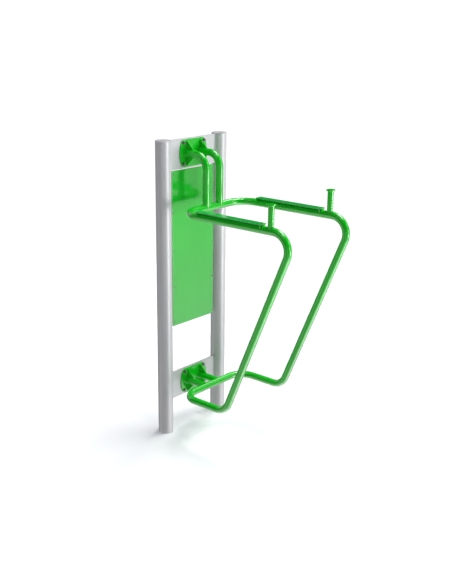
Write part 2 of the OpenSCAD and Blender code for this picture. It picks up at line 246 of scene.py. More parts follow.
def landing(middle, run, branch, run_radius, branch_radius):
    """The closed path where a branch tube lands on the side of a tube that runs past it."""
    across = branch.cross(run)
    # Keeps the path from coming to a point where both tubes are as thick
    least = 0.15 * run_radius
    count = 96
    path = []
    for i in range(count):
        turn = math.tau * i / count
        sideways = branch_radius * math.sin(turn)
        height = math.sqrt(max(run_radius ** 2 - sideways ** 2, 0) + least ** 2)
        path.append(
            middle + run * branch_radius * math.cos(turn) + across * sideways + branch * height)
    return path


def rounded(corners, radii):
    """A path through corners, each but the first and last rounded to its radius."""
    step = math.radians(3)
    fewest = 4
    path = [corners[0]]
    for before, corner, after, radius in zip(corners, corners[1:], corners[2:], radii):
        back = (before - corner).normalized()
        on = (after - corner).normalized()
        half = back.angle(on) / 2
        middle = corner + (back + on).normalized() * radius / math.sin(half)
        start = corner + back * radius / math.tan(half) - middle
        axis = back.cross(on).normalized()
        turn = 2 * half - math.pi
        count = max(int(-turn / step), fewest)
        for i in range(count + 1):
            path.append(middle + Matrix.Rotation(turn * i / count, 3, axis) @ start)
    path.append(corners[-1])
    return path


def spaced(path, step, closed):
    """The same path with evenly spaced points, and its length."""
    if closed:
        path = path + path[:1]
    legs = [(b - a).length for a, b in zip(path, path[1:])]
    total = sum(legs)
    fewest = 3
    count = max(int(total / step), fewest)
    points = []
    leg = 0
    behind = 0.0
    for i in range(count if closed else count + 1):
        at = total * i / count
        while leg < len(legs) - 1 and behind + legs[leg] < at:
            behind += legs[leg]
            leg += 1
        points.append(path[leg].lerp(path[leg + 1], (at - behind) / legs[leg]))
    return points, total


def frames_along(path, closed):
    """A (centre, side, up) frame at each point of a path, turned as little as possible."""
    count = len(path)
    frames = []
    side = None
    for i, point in enumerate(path):
        before = path[i - 1] if closed or i > 0 else point
        after = path[(i + 1) % count] if closed or i < count - 1 else point
        along = (after - before).normalized()
        if side is None:
            side = along.orthogonal()
        side = (side - along * side.dot(along)).normalized()
        frames.append((point, side, along.cross(side)))
    return frames


# Meshes, each as its points and faces


def skin(rings, closed=False, capped=False, inward=False):
    """The points of the rings and the faces between them."""
    sides = len(rings[0])
    count = len(rings)
    faces = []
    for i in range(count if closed else count - 1):
        for k in range(sides):
            a = i * sides + k
            b = i * sides + (k + 1) % sides
            c = (i + 1) % count * sides + (k + 1) % sides
            d = (i + 1) % count * sides + k
            faces.append((a, d, c, b) if inward else (a, b, c, d))
    if capped:
        faces.append(tuple(reversed(range(sides))))
        faces.append(tuple((count - 1) * sides + k for k in range(sides)))
    return [p for r in rings for p in r], faces


def tube(path, radius, wall, sides, seat=None):
    """A hollow tube along a path. Its last end is cut to a seat, (centre, axis, radius)."""
    frames = frames_along(path, False)
    shells = [[ring(f, r, sides) for f in frames] for r in (radius, radius - wall)]
    if seat is not None:
        middle, axis, seat_radius = seat
        along = (path[-1] - path[-2]).normalized()
        across = along.cross(axis)
        for shell in shells:
            for k, point in enumerate(shell[-1]):
                offset = point - middle
                depth = math.sqrt(max(seat_radius ** 2 - offset.dot(across) ** 2, 0))
                shell[-1][k] = point - along * (offset.dot(along) + depth)
    points, faces = merged([skin(shells[0]), skin(shells[1], inward=True)])
    shift = len(points) // 2
    last = shift - sides
    for k in range(sides):
        n = (k + 1) % sides
        faces.append((k, k + shift, n + shift, n))
        faces.append((last + k, last + n, last + n + shift, last + k + shift))
    return points, faces


def stacked(rings, sides, closed=False):
    """A solid of rings round the vertical axis.

    Each is its (radius, height), or a function that gives them for an angle.
    """
    rows = []
    for place in rings:
        row = []
        for k in range(sides):
            turn = math.tau * k / sides
            radius, height = place(turn) if callable(place) else place
            row.append(Vector((radius * math.cos(turn), radius * math.sin(turn), height)))
        rows.append(row)
    return skin(rows, closed, capped=not closed)


def rounded_plate(outline, thickness, soft):
    """A flat plate above its anticlockwise outline, with both faces' edges rounded."""
    steps = 4
    count = len(outline)
    mitres = []
    for i, (x, y) in enumerate(outline):
        before = Vector((x, y)) - Vector(outline[i - 1])
        after = Vector(outline[(i + 1) % count]) - Vector((x, y))
        n = Vector((before.y, -before.x)).normalized()
        m = Vector((after.y, -after.x)).normalized()
        mitres.append((n + m) / (1 + n.dot(m)))
    rows = []
    for middle, start in ((soft, -90), (thickness - soft, 0)):
        for reach, height in arc(0, middle, soft, start, start + 90, steps):
            inset = soft - reach
            rows.append([
                Vector((x - mitre.x * inset, y - mitre.y * inset, height))
                for (x, y), mitre in zip(outline, mitres)
            ])
    return skin(rows, capped=True)


def rectangle(low, high, corner=0.0):
    """The outline of a rectangle between two (x, y) corners, with its own corners rounded."""
    if corner == 0:
        return [(low[0], low[1]), (high[0], low[1]), (high[0], high[1]), (low[0], high[1])]
    outline = []
    steps = 6
    for x, y, start in (
        (high[0] - corner, low[1] + corner, -90), (high[0] - corner, high[1] - corner, 0),
        (low[0] + corner, high[1] - corner, 90), (low[0] + corner, low[1] + corner, 180),
    ):
        outline += arc(x, y, corner, start, start + 90, steps)
    return outline


def arc(x, y, radius, start, end, steps):
    """Points on an arc from one angle to another, in degrees."""
    turns = [math.radians(start + (end - start) * i / steps) for i in range(steps + 1)]
    return [(x + radius * math.cos(t), y + radius * math.sin(t)) for t in turns]


def bead(path, radius, ripple, closed=False):
    """A rippled weld bead along a path."""
    sides = 10
    steps_per_ripple = 5
    # Shares of the radius: between two ripples, and at an open end
    trough = 0.88
    tip = 0.4
    path, length = spaced(path, ripple / steps_per_ripple, closed)
    waves = max(round(length / ripple), 1)
    rows = []
    last = len(path) - 1
    for i, place in enumerate(frames_along(path, closed)):
        along = i / (len(path) if closed else last)
        wave = trough + (1 - trough) * abs(math.cos(math.pi * waves * along))
        end = tip if not closed and i in (0, last) else 1.0
        rows.append(ring(place, radius * wave * end, sides))
    return skin(rows, closed, capped=not closed)


def hexagon(flats, level, rim=0.0, slope=0.0):
    """A ring of a hexagon. A cone through (rim, level) may turn off its corners."""
    sixth = math.pi / 3

    def place(turn):
        radius = flats / 2 / math.cos(turn % sixth - sixth / 2)
        return radius, level - slope * (radius - rim)

    return place


def threaded(radius, pitch, low, high):
    """The rings of a screw thread from a rounded-off end at low up to high."""
    depth = THREAD_DEPTH_SHARE * pitch
    per_pitch = 8
    count = int((high - low) / pitch * per_pitch)
    tip = radius - 1.5 * depth
    rings = [(tip, low)]
    for i in range(1, count + 1):
        def place(turn, height=low + (high - low) * i / count):
            wave = abs((height / pitch - turn / math.tau) % 1 - 0.5) * 2
            return radius - depth * wave, height
        rings.append(place)
    return rings


def shank(diameter, pitch, length):
    """The rings of a bolt's shank, threaded over its last two diameters."""
    radius = diameter / 2
    end = -length + 2 * diameter
    rings = threaded(radius, pitch, -length, end)
    return rings + [(radius, end + pitch / 2), (radius, 0)]


def hex_bolt(diameter, pitch, length):
    """A hexagon bolt; z = 0 is the underside of its head."""
    flats = HEX_FLATS_SHARE * diameter
    height = HEX_HEAD_SHARE * diameter
    rim = HEX_RIM_SHARE * flats
    seat = 0.03 * diameter
    # The top is a little dished
    dish = ((0.93 * rim, height - seat), (0.5 * rim, height - 1.2 * seat))
    rings = shank(diameter, pitch, length) + [
        (rim, 0), (rim, seat), hexagon(flats, seat), hexagon(flats, height, rim, HEX_SLOPE),
        (rim, height), *dish,
    ]
    return stacked(rings, FASTENER_SIDES)


def hex_nut(diameter):
    """A hexagon nut standing on z = 0, with both ends chamfered."""
    flats = HEX_FLATS_SHARE * diameter
    height = NUT_SHARE * diameter
    rim = HEX_RIM_SHARE * flats
    bore = 0.505 * diameter
    lead = 0.06 * diameter
    rings = [
        (bore, lead), (bore + lead, 0), (rim, 0), hexagon(flats, 0, rim, -HEX_SLOPE),
        hexagon(flats, height, rim, HEX_SLOPE), (rim, height), (bore + lead, height),
        (bore, height - lead),
    ]
    return stacked(rings, FASTENER_SIDES, closed=True)


def flat_washer(diameter):
    """A flat washer lying on z = 0, twice as wide as its bolt."""
    height = WASHER_SHARE * diameter
    bore = 0.54 * diameter
    rim = diameter
    soft = 0.25 * height
    sides = 48
    rings = [
        (bore, soft), (bore + soft, 0), (rim - soft, 0), (rim, soft), (rim, height - soft),
        (rim - soft, height), (bore + soft, height), (bore, height - soft),
    ]
    return stacked(rings, sides, closed=True)


def button_screw(diameter, pitch, length):
    """A button-head screw with a hexagon socket; z = 0 is the underside of its head."""
    rim = BUTTON_D_SHARE * diameter / 2
    height = BUTTON_H_SHARE * diameter
    flats = SOCKET_FLATS_SHARE * diameter
    dome = (rim ** 2 + height ** 2) / (2 * height)
    lip = 0.65 * flats
    steps = 6
    rings = shank(diameter, pitch, length)
    for i in range(steps + 1):
        radius = rim + (lip - rim) * i / steps
        level = math.sqrt(dome ** 2 - radius ** 2) + height - dome
        rings.append((radius, level))
    lead = 0.02 * diameter
    rings.append(hexagon(flats, level - lead))
    rings.append(hexagon(flats, height - SOCKET_DEPTH_SHARE * diameter))
    return stacked(rings, FASTENER_SIDES)


def merged(parts):
    """Several meshes as one."""
    points, faces = [], []
    for part_points, part_faces in parts:
        shift = len(points)
        points += part_points
        faces += [tuple(v + shift for v in face) for face in part_faces]
    return points, faces


def placed(part, *matrices):
    """Copies of a mesh, each moved by a matrix."""
    points, faces = part
    return merged([([m @ p for p in points], faces) for m in matrices])


def at(x, y, z):
    """The matrix that moves something to a place."""
    return Matrix.Translation((x, y, z))


def add_piece(name, part, slot, replaces=(), sharp=40, plate=False):
    """Makes a piece of the object, with the finish of its slot."""
    points, faces = part
    mesh = bpy.data.meshes.new(name)
    work = bmesh.new()
    corners = [work.verts.new(p) for p in points]
    for face in faces:
        work.faces.new([corners[v] for v in face])
    # A profile that touches its axis leaves points on top of each other there
    bmesh.ops.remove_doubles(work, verts=work.verts, dist=0.001 * MM)
    bmesh.ops.delete(work, geom=[e for e in work.edges if not e.link_faces], context="EDGES")
    work.to_mesh(mesh)
    work.free()
    mesh.shade_smooth()
    mesh.set_sharp_from_angle(angle=math.radians(sharp))
    mesh.materials.append(finish_of(slot))
    piece = bpy.data.objects.new(name, mesh)
    bpy.context.scene.collection.objects.link(piece)
    if plate:
        # Keeps the flat faces flat to the light beside their rounded edges
        normals = piece.modifiers.new("Flat faces", "WEIGHTED_NORMAL")
        normals.keep_sharp = True
    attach(piece, "root")
    if replaces:
        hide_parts(*replaces)
    return piece


# Finishes


def add_node(tree, kind, inputs=None, **settings):
    """Adds a shader node with its settings, its values and its links."""
    node = tree.nodes.new(kind)
    for name, value in settings.items():
        setattr(node, name, value)
    for name, value in (inputs or {}).items():
        if isinstance(value, bpy.types.NodeSocket):
            tree.links.new(value, node.inputs[name])
        else:
            node.inputs[name].default_value = value
    return node


def new_material(name):
    """A material with an empty node tree."""
    material = bpy.data.materials.new(name)
    material.use_nodes = True
    material.node_tree.nodes.clear()
    return material, material.node_tree


def new_finish(name):
    """A new material, its node tree, and the place on the piece, which steers the patterns."""
    material, tree = new_material(name)
    return material, tree, add_node(tree, "ShaderNodeTexCoord").outputs["Object"]


def per_metre(size_mm):
    """The scale of a texture whose features are this many millimetres across."""
    return 1 / (size_mm * MM)


def shade(colour, share=1.0):
    """A colour with alpha, made lighter or darker."""
    return [min(c * share, 1.0) for c in colour[:3]] + [1.0]


def uneven_tone(tree, where, colour, size_mm, detail, spread):
    """A colour that is a little darker and lighter in patches."""
    patches = add_node(
        tree, "ShaderNodeTexNoise",
        {"Vector": where, "Scale": per_metre(size_mm), "Detail": detail})
    tone = add_node(
        tree, "ShaderNodeMix",
        {"Factor": patches.outputs["Fac"], "A": shade(colour, 1 - spread),
         "B": shade(colour, 1 + spread)},
        data_type="RGBA")
    return tone.outputs["Result"]


def uneven_gloss(tree, where, size_mm, least, most, low=0.0, high=1.0):
    """A roughness from least to most, in patches, as hands and weather leave it.

    The patches' noise gives least at its value low and most at high.
    """
    patches = add_node(
        tree, "ShaderNodeTexNoise",
        {"Vector": where, "Scale": per_metre(size_mm), "Detail": 4.0})
    rough = add_node(
        tree, "ShaderNodeMapRange",
        {"Value": patches.outputs["Fac"], "From Min": low, "From Max": high,
         "To Min": least, "To Max": most})
    return rough.outputs["Result"]


def relief(tree, where, size_mm, detail, strength):
    """A fine relief, 0.1 mm deep at full strength."""
    grain = add_node(
        tree, "ShaderNodeTexNoise",
        {"Vector": where, "Scale": per_metre(size_mm), "Detail": detail})
    bump = add_node(
        tree, "ShaderNodeBump",
        {"Height": grain.outputs["Fac"], "Strength": strength, "Distance": 0.1 * MM})
    return bump.outputs["Normal"]


def gloss_powder_coat(name, colour, roughness):
    """Polyester powder, sprayed on steel and baked: it flows out to a smooth glossy skin."""
    material, tree, where = new_finish(name)
    # The film is thicker, so deeper in colour, in patches about a hand wide. Orange peel is
    # about 2 mm across; it is drawn at 8 mm so that it shows in highlights.
    shader = add_node(tree, "ShaderNodeBsdfPrincipled", {
        "Base Color": uneven_tone(tree, where, colour, size_mm=120, detail=2, spread=0.08),
        "Roughness": uneven_gloss(
            tree, where, size_mm=35, least=roughness, most=roughness + 0.08, low=0.35, high=0.75),
        "Normal": relief(tree, where, size_mm=8, detail=1, strength=0.02),
        "IOR": 1.5, "Coat Weight": 0.5, "Coat Roughness": 0.1, "Coat IOR": 1.5})
    add_node(tree, "ShaderNodeOutputMaterial", {"Surface": shader.outputs["BSDF"]})
    return material


def satin_powder_coat(name, colour):
    """Grey powder coat with aluminium flake: matt close up, with a soft broad sheen."""
    material, tree, where = new_finish(name)
    tone = uneven_tone(tree, where, colour, size_mm=160, detail=3, spread=0.04)
    # Flakes are under 0.1 mm; they are drawn at 1.5 mm, as a faint speckle
    flake = add_node(
        tree, "ShaderNodeTexVoronoi", {"Vector": where, "Scale": per_metre(1.5)})
    speckle = add_node(
        tree, "ShaderNodeMapRange",
        {"Value": flake.outputs["Distance"], "To Min": 0.97, "To Max": 1.03})
    flecked = add_node(
        tree, "ShaderNodeVectorMath",
        {0: tone, 1: speckle.outputs["Result"]}, operation="MULTIPLY")
    shader = add_node(tree, "ShaderNodeBsdfPrincipled", {
        "Base Color": flecked.outputs["Vector"],
        "Roughness": uneven_gloss(tree, where, size_mm=60, least=0.34, most=0.42),
        "Normal": relief(tree, where, size_mm=2.5, detail=2, strength=0.15),
        "IOR": 1.5, "Metallic": 0.1})
    add_node(tree, "ShaderNodeOutputMaterial", {"Surface": shader.outputs["BSDF"]})
    return material


def compact_laminate(name, colour, core):
    """Laminate board pressed to a high gloss; the router that cut it bared a paler core."""
    material, tree, where = new_finish(name)
    tone = uneven_tone(tree, where, colour, size_mm=260, detail=2, spread=0.04)
    # The faces look along Y and the cut edges don't
    normal = add_node(tree, "ShaderNodeNewGeometry").outputs["Normal"]
    facing = add_node(
        tree, "ShaderNodeVectorMath", {0: normal, 1: ALONG}, operation="DOT_PRODUCT")
    flat = add_node(
        tree, "ShaderNodeMath", {0: facing.outputs["Value"]}, operation="ABSOLUTE")
    cut = add_node(
        tree, "ShaderNodeMapRange",
        {"Value": flat.outputs["Value"], "From Min": 0.5, "From Max": 0.95,
         "To Min": 1.0, "To Max": 0.0})
    whole = add_node(
        tree, "ShaderNodeMix",
        {"Factor": cut.outputs["Result"], "A": tone, "B": shade(core)}, data_type="RGBA")
    # The press plate leaves a pebble of about 1 mm; it is drawn at 3 mm, very shallow
    shader = add_node(tree, "ShaderNodeBsdfPrincipled", {
        "Base Color": whole.outputs["Result"],
        "Roughness": uneven_gloss(tree, where, size_mm=90, least=0.12, most=0.18),
        "Normal": relief(tree, where, size_mm=3, detail=1, strength=0.04),
        "IOR": 1.54, "Coat Weight": 0.8, "Coat Roughness": 0.08, "Coat IOR": 1.5})
    add_node(tree, "ShaderNodeOutputMaterial", {"Surface": shader.outputs["BSDF"]})
    return material


def machined_steel(name, colour, roughness):
    """Steel rolled and turned bright: fine marks run along it and catch the light."""
    material, tree, where = new_finish(name)
    # Tool marks are about 0.2 mm apart; they are drawn at 1 mm, and 12 mm long
    width_mm = 1
    length_mm = 12
    stretched = add_node(
        tree, "ShaderNodeMapping", {"Vector": where, "Scale": (1, length_mm / width_mm, 1)})
    marks = add_node(
        tree, "ShaderNodeTexNoise",
        {"Vector": stretched.outputs["Vector"], "Scale": per_metre(length_mm), "Detail": 3.0})
    tone = add_node(
        tree, "ShaderNodeMix",
        {"Factor": marks.outputs["Fac"], "A": shade(colour, 0.8), "B": shade(colour, 1.1)},
        data_type="RGBA")
    rough = add_node(
        tree, "ShaderNodeMapRange",
        {"Value": marks.outputs["Fac"], "To Min": roughness - 0.06, "To Max": roughness + 0.1})
    bump = add_node(
        tree, "ShaderNodeBump",
        {"Height": marks.outputs["Fac"], "Strength": 0.2, "Distance": 0.05 * MM})
    shader = add_node(tree, "ShaderNodeBsdfPrincipled", {
        "Base Color": tone.outputs["Result"], "Roughness": rough.outputs["Result"],
        "Normal": bump.outputs["Normal"], "Metallic": 1.0})
    add_node(tree, "ShaderNodeOutputMaterial", {"Surface": shader.outputs["BSDF"]})
    return material


FINISHES = {
    "frame_green": lambda f: gloss_powder_coat(
        "gloss_green_powder_coat", f.frame_green, roughness=0.13),
    "armrest_green": lambda f: gloss_powder_coat(
        "armrest_powder_coat", f.armrest_green, roughness=0.2),
    "panel_green": lambda f: compact_laminate(
        "green_compact_laminate", f.panel_green, f.panel_core),
    "post_grey": lambda f: satin_powder_coat("satin_grey_powder_coat", f.post_grey),
    "stainless_fasteners": lambda f: machined_steel(
        "stainless_steel", f.stainless, roughness=0.22),
    "bare_steel": lambda f: machined_steel("bare_mild_steel", f.bare_steel, roughness=0.45),
}


def finish_of(slot):
    """The material of a slot, made when it is first asked for."""
    key = f"{slot}_finish"
    if key not in bpy.data.materials:
        material = FINISHES[slot](bpy.context.scene.station_finish)
        material.name = key
    return bpy.data.materials[key]


# Places taken from the frame


def half_size(node):
    """Half the width, depth and height of a node's box."""
    low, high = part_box(node)
    return (high - low) / 2


def radius_of(node):
    """The radius of a round node, from the width of its box."""
    return half_size(node).x


def tube_radius():
    """Outer radius of the frame tubes."""
    return radius_of("right_stub_tube")


def arm_height():
    """Height of the axes of the arms."""
    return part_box("right_arm_tube")[1].z - tube_radius()


def arm_x():
    """Distance of the arms' axes from the middle."""
    return centre("right_leg_tube").x


def rear_bars(x):
    """The points at x on the axes of the upper and the lower rear bar."""
    low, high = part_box("right_foot_tube")
    return (
        Vector((x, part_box("right_arm_tube")[1].y - tube_radius(), arm_height())),
        Vector((x, high.y - tube_radius(), low.z + tube_radius())),
    )


def on_axis(node, height):
    """The point at a height on the upright axis of a node."""
    middle = centre(node)
    return Vector((middle.x, middle.y, height))


def post_surface(y):
    """Distance from the middle to the inward face of the right post, at a depth y."""
    return centre("right_post").x - math.sqrt(radius_of("right_post") ** 2 - y ** 2)


def bolt_places(node, diameter):
    """The (x, z) of the four bolts whose washers a node holds."""
    low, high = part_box(node)
    return [(x, z) for x in (low.x + diameter, high.x - diameter)
            for z in (low.z + diameter, high.z - diameter)]


def screw_places(sizes):
    """The (x, z) of the panel screws."""
    low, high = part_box("panel_washers")
    reach = high.x - sizes.screw
    first = low.z + sizes.screw
    last = high.z - sizes.screw
    count = sizes.screw_count
    return [(side * reach, first + (last - first) * i / (count - 1))
            for side in SIDES.values() for i in range(count)]


# Pieces


def front_outline(node, corner=0.0):
    """The rectangle that a node's box shows from the front."""
    low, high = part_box(node)
    return rectangle((low.x, low.z), (high.x, high.z), corner)


def add_standing(name, node, outline, soft, slot, z=0.0):
    """Makes a plate as thick as its node, stood up in its place."""
    low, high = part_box(node)
    plate = rounded_plate(outline, high.y - low.y, soft)
    add_piece(name, placed(plate, at(0, high.y, z) @ STANDING), slot, [node], plate=True)


def add_turned(name, node, middle, profile, sides, slot, plate=False):
    """Makes a piece turned round an upright axis, in the place of a node."""
    part = placed(stacked(profile, sides, closed=True), at(middle.x, middle.y, 0))
    add_piece(name, part, slot, [node], plate=plate)


def add_fasteners(name, node, part, depths, places):
    """Makes all copies of a fastener, each turned a little further, as fitted by hand."""
    turn = math.radians(23)
    matrices = [
        at(x, y, z) @ STANDING @ Matrix.Rotation(turn * i, 4, "Z")
        for y in depths for i, (x, z) in enumerate(places)
    ]
    add_piece(name, placed(part, *matrices), "stainless_fasteners", [node], sharp=25)


class StationOperator:
    """What the operators of the pieces share."""

    bl_options = {"REGISTER", "UNDO"}

    def execute(self, context):
        self.build(context.scene.station_sizes)
        return {"FINISHED"}


class STATION_OT_posts(StationOperator, bpy.types.Operator):
    """Builds the two posts and their welded cap plates"""

    bl_idname = "station.posts"
    bl_label = "Posts and caps"

    def build(self, sizes):
        soft = 0.6 * MM
        sides = 96
        for side in SIDES:
            node = f"{side}_post"
            low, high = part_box(node)
            middle = centre(node)
            radius = radius_of(node)
            inner = radius - sizes.post_wall
            profile = [
                (inner, low.z), (radius - soft, low.z), (radius, low.z + soft),
                (radius, high.z), (inner, high.z),
            ]
            add_turned(f"{side}_post_tube", node, middle, profile, sides, "post_grey")
            # A cap's upper edge is ground off further than its lower one
            node = f"{side}_post_cap"
            low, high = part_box(node)
            radius = radius_of(node)
            profile = [
                (0, low.z), (radius - soft, low.z), (radius, low.z + soft),
                (radius, high.z - 2 * soft), (radius - soft / 2, high.z - soft / 2),
                (radius - 2 * soft, high.z), (0, high.z),
            ]
            add_turned(f"{side}_cap_plate", node, middle, profile, sides, "post_grey")


class STATION_OT_cross_plates(StationOperator, bpy.types.Operator):
    """Builds the cross plates and the panel strips that are welded between the posts"""

    bl_idname = "station.cross_plates"
    bl_label = "Cross plates and panel strips"

    def build(self, sizes):
        reach = post_surface(0)
        for level in LEVELS:
            node = f"{level}_cross_plate"
            low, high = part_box(node)
            outline = rectangle((-reach, low.z), (reach, high.z))
            add_standing(f"{level}_cross_bar", node, outline, sizes.soft_edge, "post_grey")
        for side in SIDES:
            node = f"{side}_panel_strip"
            add_standing(
                f"{side}_strip", node, front_outline(node), sizes.soft_edge / 2, "post_grey")


class STATION_OT_back_panel(StationOperator, bpy.types.Operator):
    """Builds the back panel"""

    bl_idname = "station.back_panel"
    bl_label = "Back panel"

    def build(self, sizes):
        corner = 2 * sizes.panel_edge
        outline = front_outline("back_panel", corner)
        add_standing("panel_board", "back_panel", outline, sizes.panel_edge, "panel_green")


class STATION_OT_mounting_plates(StationOperator, bpy.types.Operator):
    """Builds the mounting plates with bowed sides, and their gussets"""

    bl_idname = "station.mounting_plates"
    bl_label = "Mounting plates and gussets"

    def build(self, sizes):
        for level in LEVELS:
            node = f"{level}_mounting_plate"
            half = half_size(node)
            outline = self.outline(half.x, half.z, sizes)
            add_standing(
                f"{level}_plate", node, outline, sizes.soft_edge, "frame_green", centre(node).z)
            for side in SIDES:
                self.gussets(level, side, sizes)

    def outline(self, half_width, half_height, sizes):
        """Straight ends, bowed sides, and round corners that run into both."""
        back = sizes.mount_side - half_width
        corner_y = half_height - sizes.mount_corner
        reach = math.sqrt((sizes.mount_side - sizes.mount_corner) ** 2 - corner_y ** 2)
        corner_x = reach - back
        turn = math.degrees(math.atan2(corner_y, reach))
        steps = 10
        corner = sizes.mount_corner
        return (
            arc(-back, 0, sizes.mount_side, -turn, turn, steps)
            + arc(corner_x, corner_y, corner, turn, 90, steps)[1:]
            + arc(-corner_x, corner_y, corner, 90, 180 - turn, steps)
            + arc(back, 0, sizes.mount_side, 180 - turn, 180 + turn, steps)[1:]
            + arc(-corner_x, -corner_y, corner, 180 + turn, 270, steps)[1:]
            + arc(corner_x, -corner_y, corner, 270, 360 - turn, steps)[:-1]
        )

    def gussets(self, level, side, sizes):
        node = f"{level}_{side}_gussets"
        low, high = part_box(node)
        length = high.y - low.y
        rise = half_size(node).z
        # Where the gussets stand on their tube, and the width of their cut-off tips
        foot = tube_radius()
        tip = sizes.gusset_tip
        above = [(0, foot), (length, foot), (length, foot + tip), (tip, rise), (0, rise)]
        below = [(x, -y) for x, y in reversed(above)]
        stand = at(high.x, high.y, centre(node).z) @ EDGE_ON
        plates = [rounded_plate(half, high.x - low.x, sizes.soft_edge) for half in (above, below)]
        add_piece(
            f"{level}_{side}_gusset_pair", placed(merged(plates), stand), "frame_green", [node],
            plate=True)


class STATION_OT_frame_tubes(StationOperator, bpy.types.Operator):
    """Builds the two halves of the tube frame and finishes the sleeves in its joints"""

    bl_idname = "station.frame_tubes"
    bl_label = "Frame tubes"

    def build(self, sizes):
        radius = tube_radius()
        upper, lower = rear_bars(0)
        # Where the axes of arm and leg cross, in front of the arm's straight run
        front_turn = math.pi / 2 + sizes.leg_lean
        bulge = radius + sizes.arm_front_bend
        arm_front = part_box("right_arm_tube")[0].y + bulge
        arm_front -= sizes.arm_front_bend * math.tan(front_turn / 2)
        foot_front = arm_front + (upper.z - lower.z) * math.tan(sizes.leg_lean)
        radii = (
            sizes.arm_rear_bend, sizes.arm_front_bend, sizes.foot_front_bend, sizes.foot_rear_bend)
        for side, sign in SIDES.items():
            x = sign * arm_x()
            upper_corner, lower_corner = rear_bars(x)
            corners = [
                upper, upper_corner, Vector((x, arm_front, upper.z)),
                Vector((x, foot_front, lower.z)), lower_corner, lower,
            ]
            half = tube(rounded(corners, radii), radius, sizes.frame_wall, sizes.tube_sides)
            add_piece(
                f"{side}_frame_half", half, "frame_green",
                [f"{side}_arm_tube", f"{side}_leg_tube", f"{side}_foot_tube"])
        for level in LEVELS:
            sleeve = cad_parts[f"{level}_splice_sleeve"]
            sleeve.data.materials.clear()
            sleeve.data.materials.append(finish_of("bare_steel"))


class STATION_OT_hangers(StationOperator, bpy.types.Operator):
    """Builds the hanger tubes and stub tubes that carry the frame"""

    bl_idname = "station.hangers"
    bl_label = "Hanger and stub tubes"

    def build(self, sizes):
        radius = tube_radius()
        for side in SIDES:
            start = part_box(f"{side}_hanger_tube")[1]
            level = start.z - radius
            x = centre(f"{side}_hanger_tube").x
            upper, lower = rear_bars(x)
            corners = [Vector((x, start.y, level)), Vector((x, upper.y, level)), upper]
            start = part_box(f"{side}_stub_tube")[1]
            for kind, path in (
                ("hanger", rounded(corners, [sizes.hanger_bend])),
                ("stub", [Vector((x, start.y, lower.z)), lower]),
            ):
                seat = (path[-1], ACROSS, radius)
                part = tube(path, radius, sizes.frame_wall, sizes.tube_sides, seat)
                add_piece(f"{side}_{kind}", part, "frame_green", [f"{side}_{kind}_tube"])


class STATION_OT_armrests(StationOperator, bpy.types.Operator):
    """Builds the armrest plates and the saddles under them"""

    bl_idname = "station.armrests"
    bl_label = "Armrests"

    def build(self, sizes):
        for side in SIDES:
            node = f"{side}_armrest_plate"
            low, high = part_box(node)
            outline = rectangle((low.x, low.y), (high.x, high.y), sizes.rest_corner)
            plate = rounded_plate(outline, high.z - low.z, sizes.soft_edge)
            add_piece(
                f"{side}_armrest", placed(plate, at(0, 0, low.z)), "armrest_green", [node],
                plate=True)
            node = f"{side}_armrest_saddles"
            low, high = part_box(node)
            outline = self.outline(node, sizes)
            saddle = rounded_plate(outline, sizes.saddle, sizes.soft_edge / 2)
            places = [
                at(centre(node).x, y, arm_height()) @ STANDING
                for y in (high.y, low.y + sizes.saddle)
            ]
            add_piece(
                f"{side}_saddle_pair", placed(saddle, *places), "frame_green", [node], plate=True)

    def outline(self, node, sizes):
        """A saddle seen from the front, round the arm's axis."""
        low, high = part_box(node)
        seat = tube_radius()
        cheek_z = low.z - arm_height()
        seat_x = math.sqrt(seat ** 2 - cheek_z ** 2)
        half = half_size(node).x
        top = high.z - arm_height()
        turn = math.degrees(math.atan2(cheek_z, seat_x))
        steps = 24
        return [
            (-half, top), (-seat_x - sizes.saddle_cheek, cheek_z),
            *arc(0, 0, seat, 180 - turn, turn, steps),
            (seat_x + sizes.saddle_cheek, cheek_z), (half, top),
        ]


class STATION_OT_grips(StationOperator, bpy.types.Operator):
    """Builds the upright hand grips and the discs on top of them"""

    bl_idname = "station.grips"
    bl_label = "Hand grips"

    def build(self, sizes):
        soft = 1.5 * MM
        steps = 4
        for side in SIDES:
            node = f"{side}_grip_tube"
            middle = centre(node)
            on_arm = on_axis(node, arm_height())
            path = [on_axis(node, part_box(node)[1].z), on_arm]
            grip = tube(
                path, radius_of(node), sizes.grip_wall, sizes.tube_sides,
                (on_arm, ALONG, tube_radius()))
            add_piece(f"{side}_grip", grip, "frame_green", [node])
            node = f"{side}_grip_disc"
            low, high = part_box(node)
            rim = radius_of(node) - soft
            profile = [
                (0, low.z), *arc(rim, low.z + soft, soft, -90, 0, steps),
                *arc(rim, high.z - soft, soft, 0, 90, steps), (0, high.z),
            ]
            add_turned(
                f"{side}_grip_end", node, middle, profile, sizes.tube_sides, "frame_green",
                plate=True)


class STATION_OT_bolts(StationOperator, bpy.types.Operator):
    """Builds the bolts, washers and nuts of the mounting plates"""

    bl_idname = "station.bolts"
    bl_label = "Mounting bolts"

    def build(self, sizes):
        bolt = sizes.bolt
        for level in LEVELS:
            node = f"{level}_plate_bolts"
            places = bolt_places(f"{level}_plate_washers", bolt)
            low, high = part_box(node)
            seat = low.y + HEX_HEAD_SHARE * bolt
            part = hex_bolt(bolt, sizes.bolt_pitch, high.y - seat)
            add_fasteners(f"{level}_bolt_set", node, part, [seat], places)
            node = f"{level}_plate_washers"
            low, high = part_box(node)
            depths = [low.y + WASHER_SHARE * bolt, high.y]
            add_fasteners(f"{level}_washer_set", node, flat_washer(bolt), depths, places)
            node = f"{level}_plate_nuts"
            depths = [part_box(node)[1].y]
            add_fasteners(f"{level}_nut_set", node, hex_nut(bolt), depths, places)


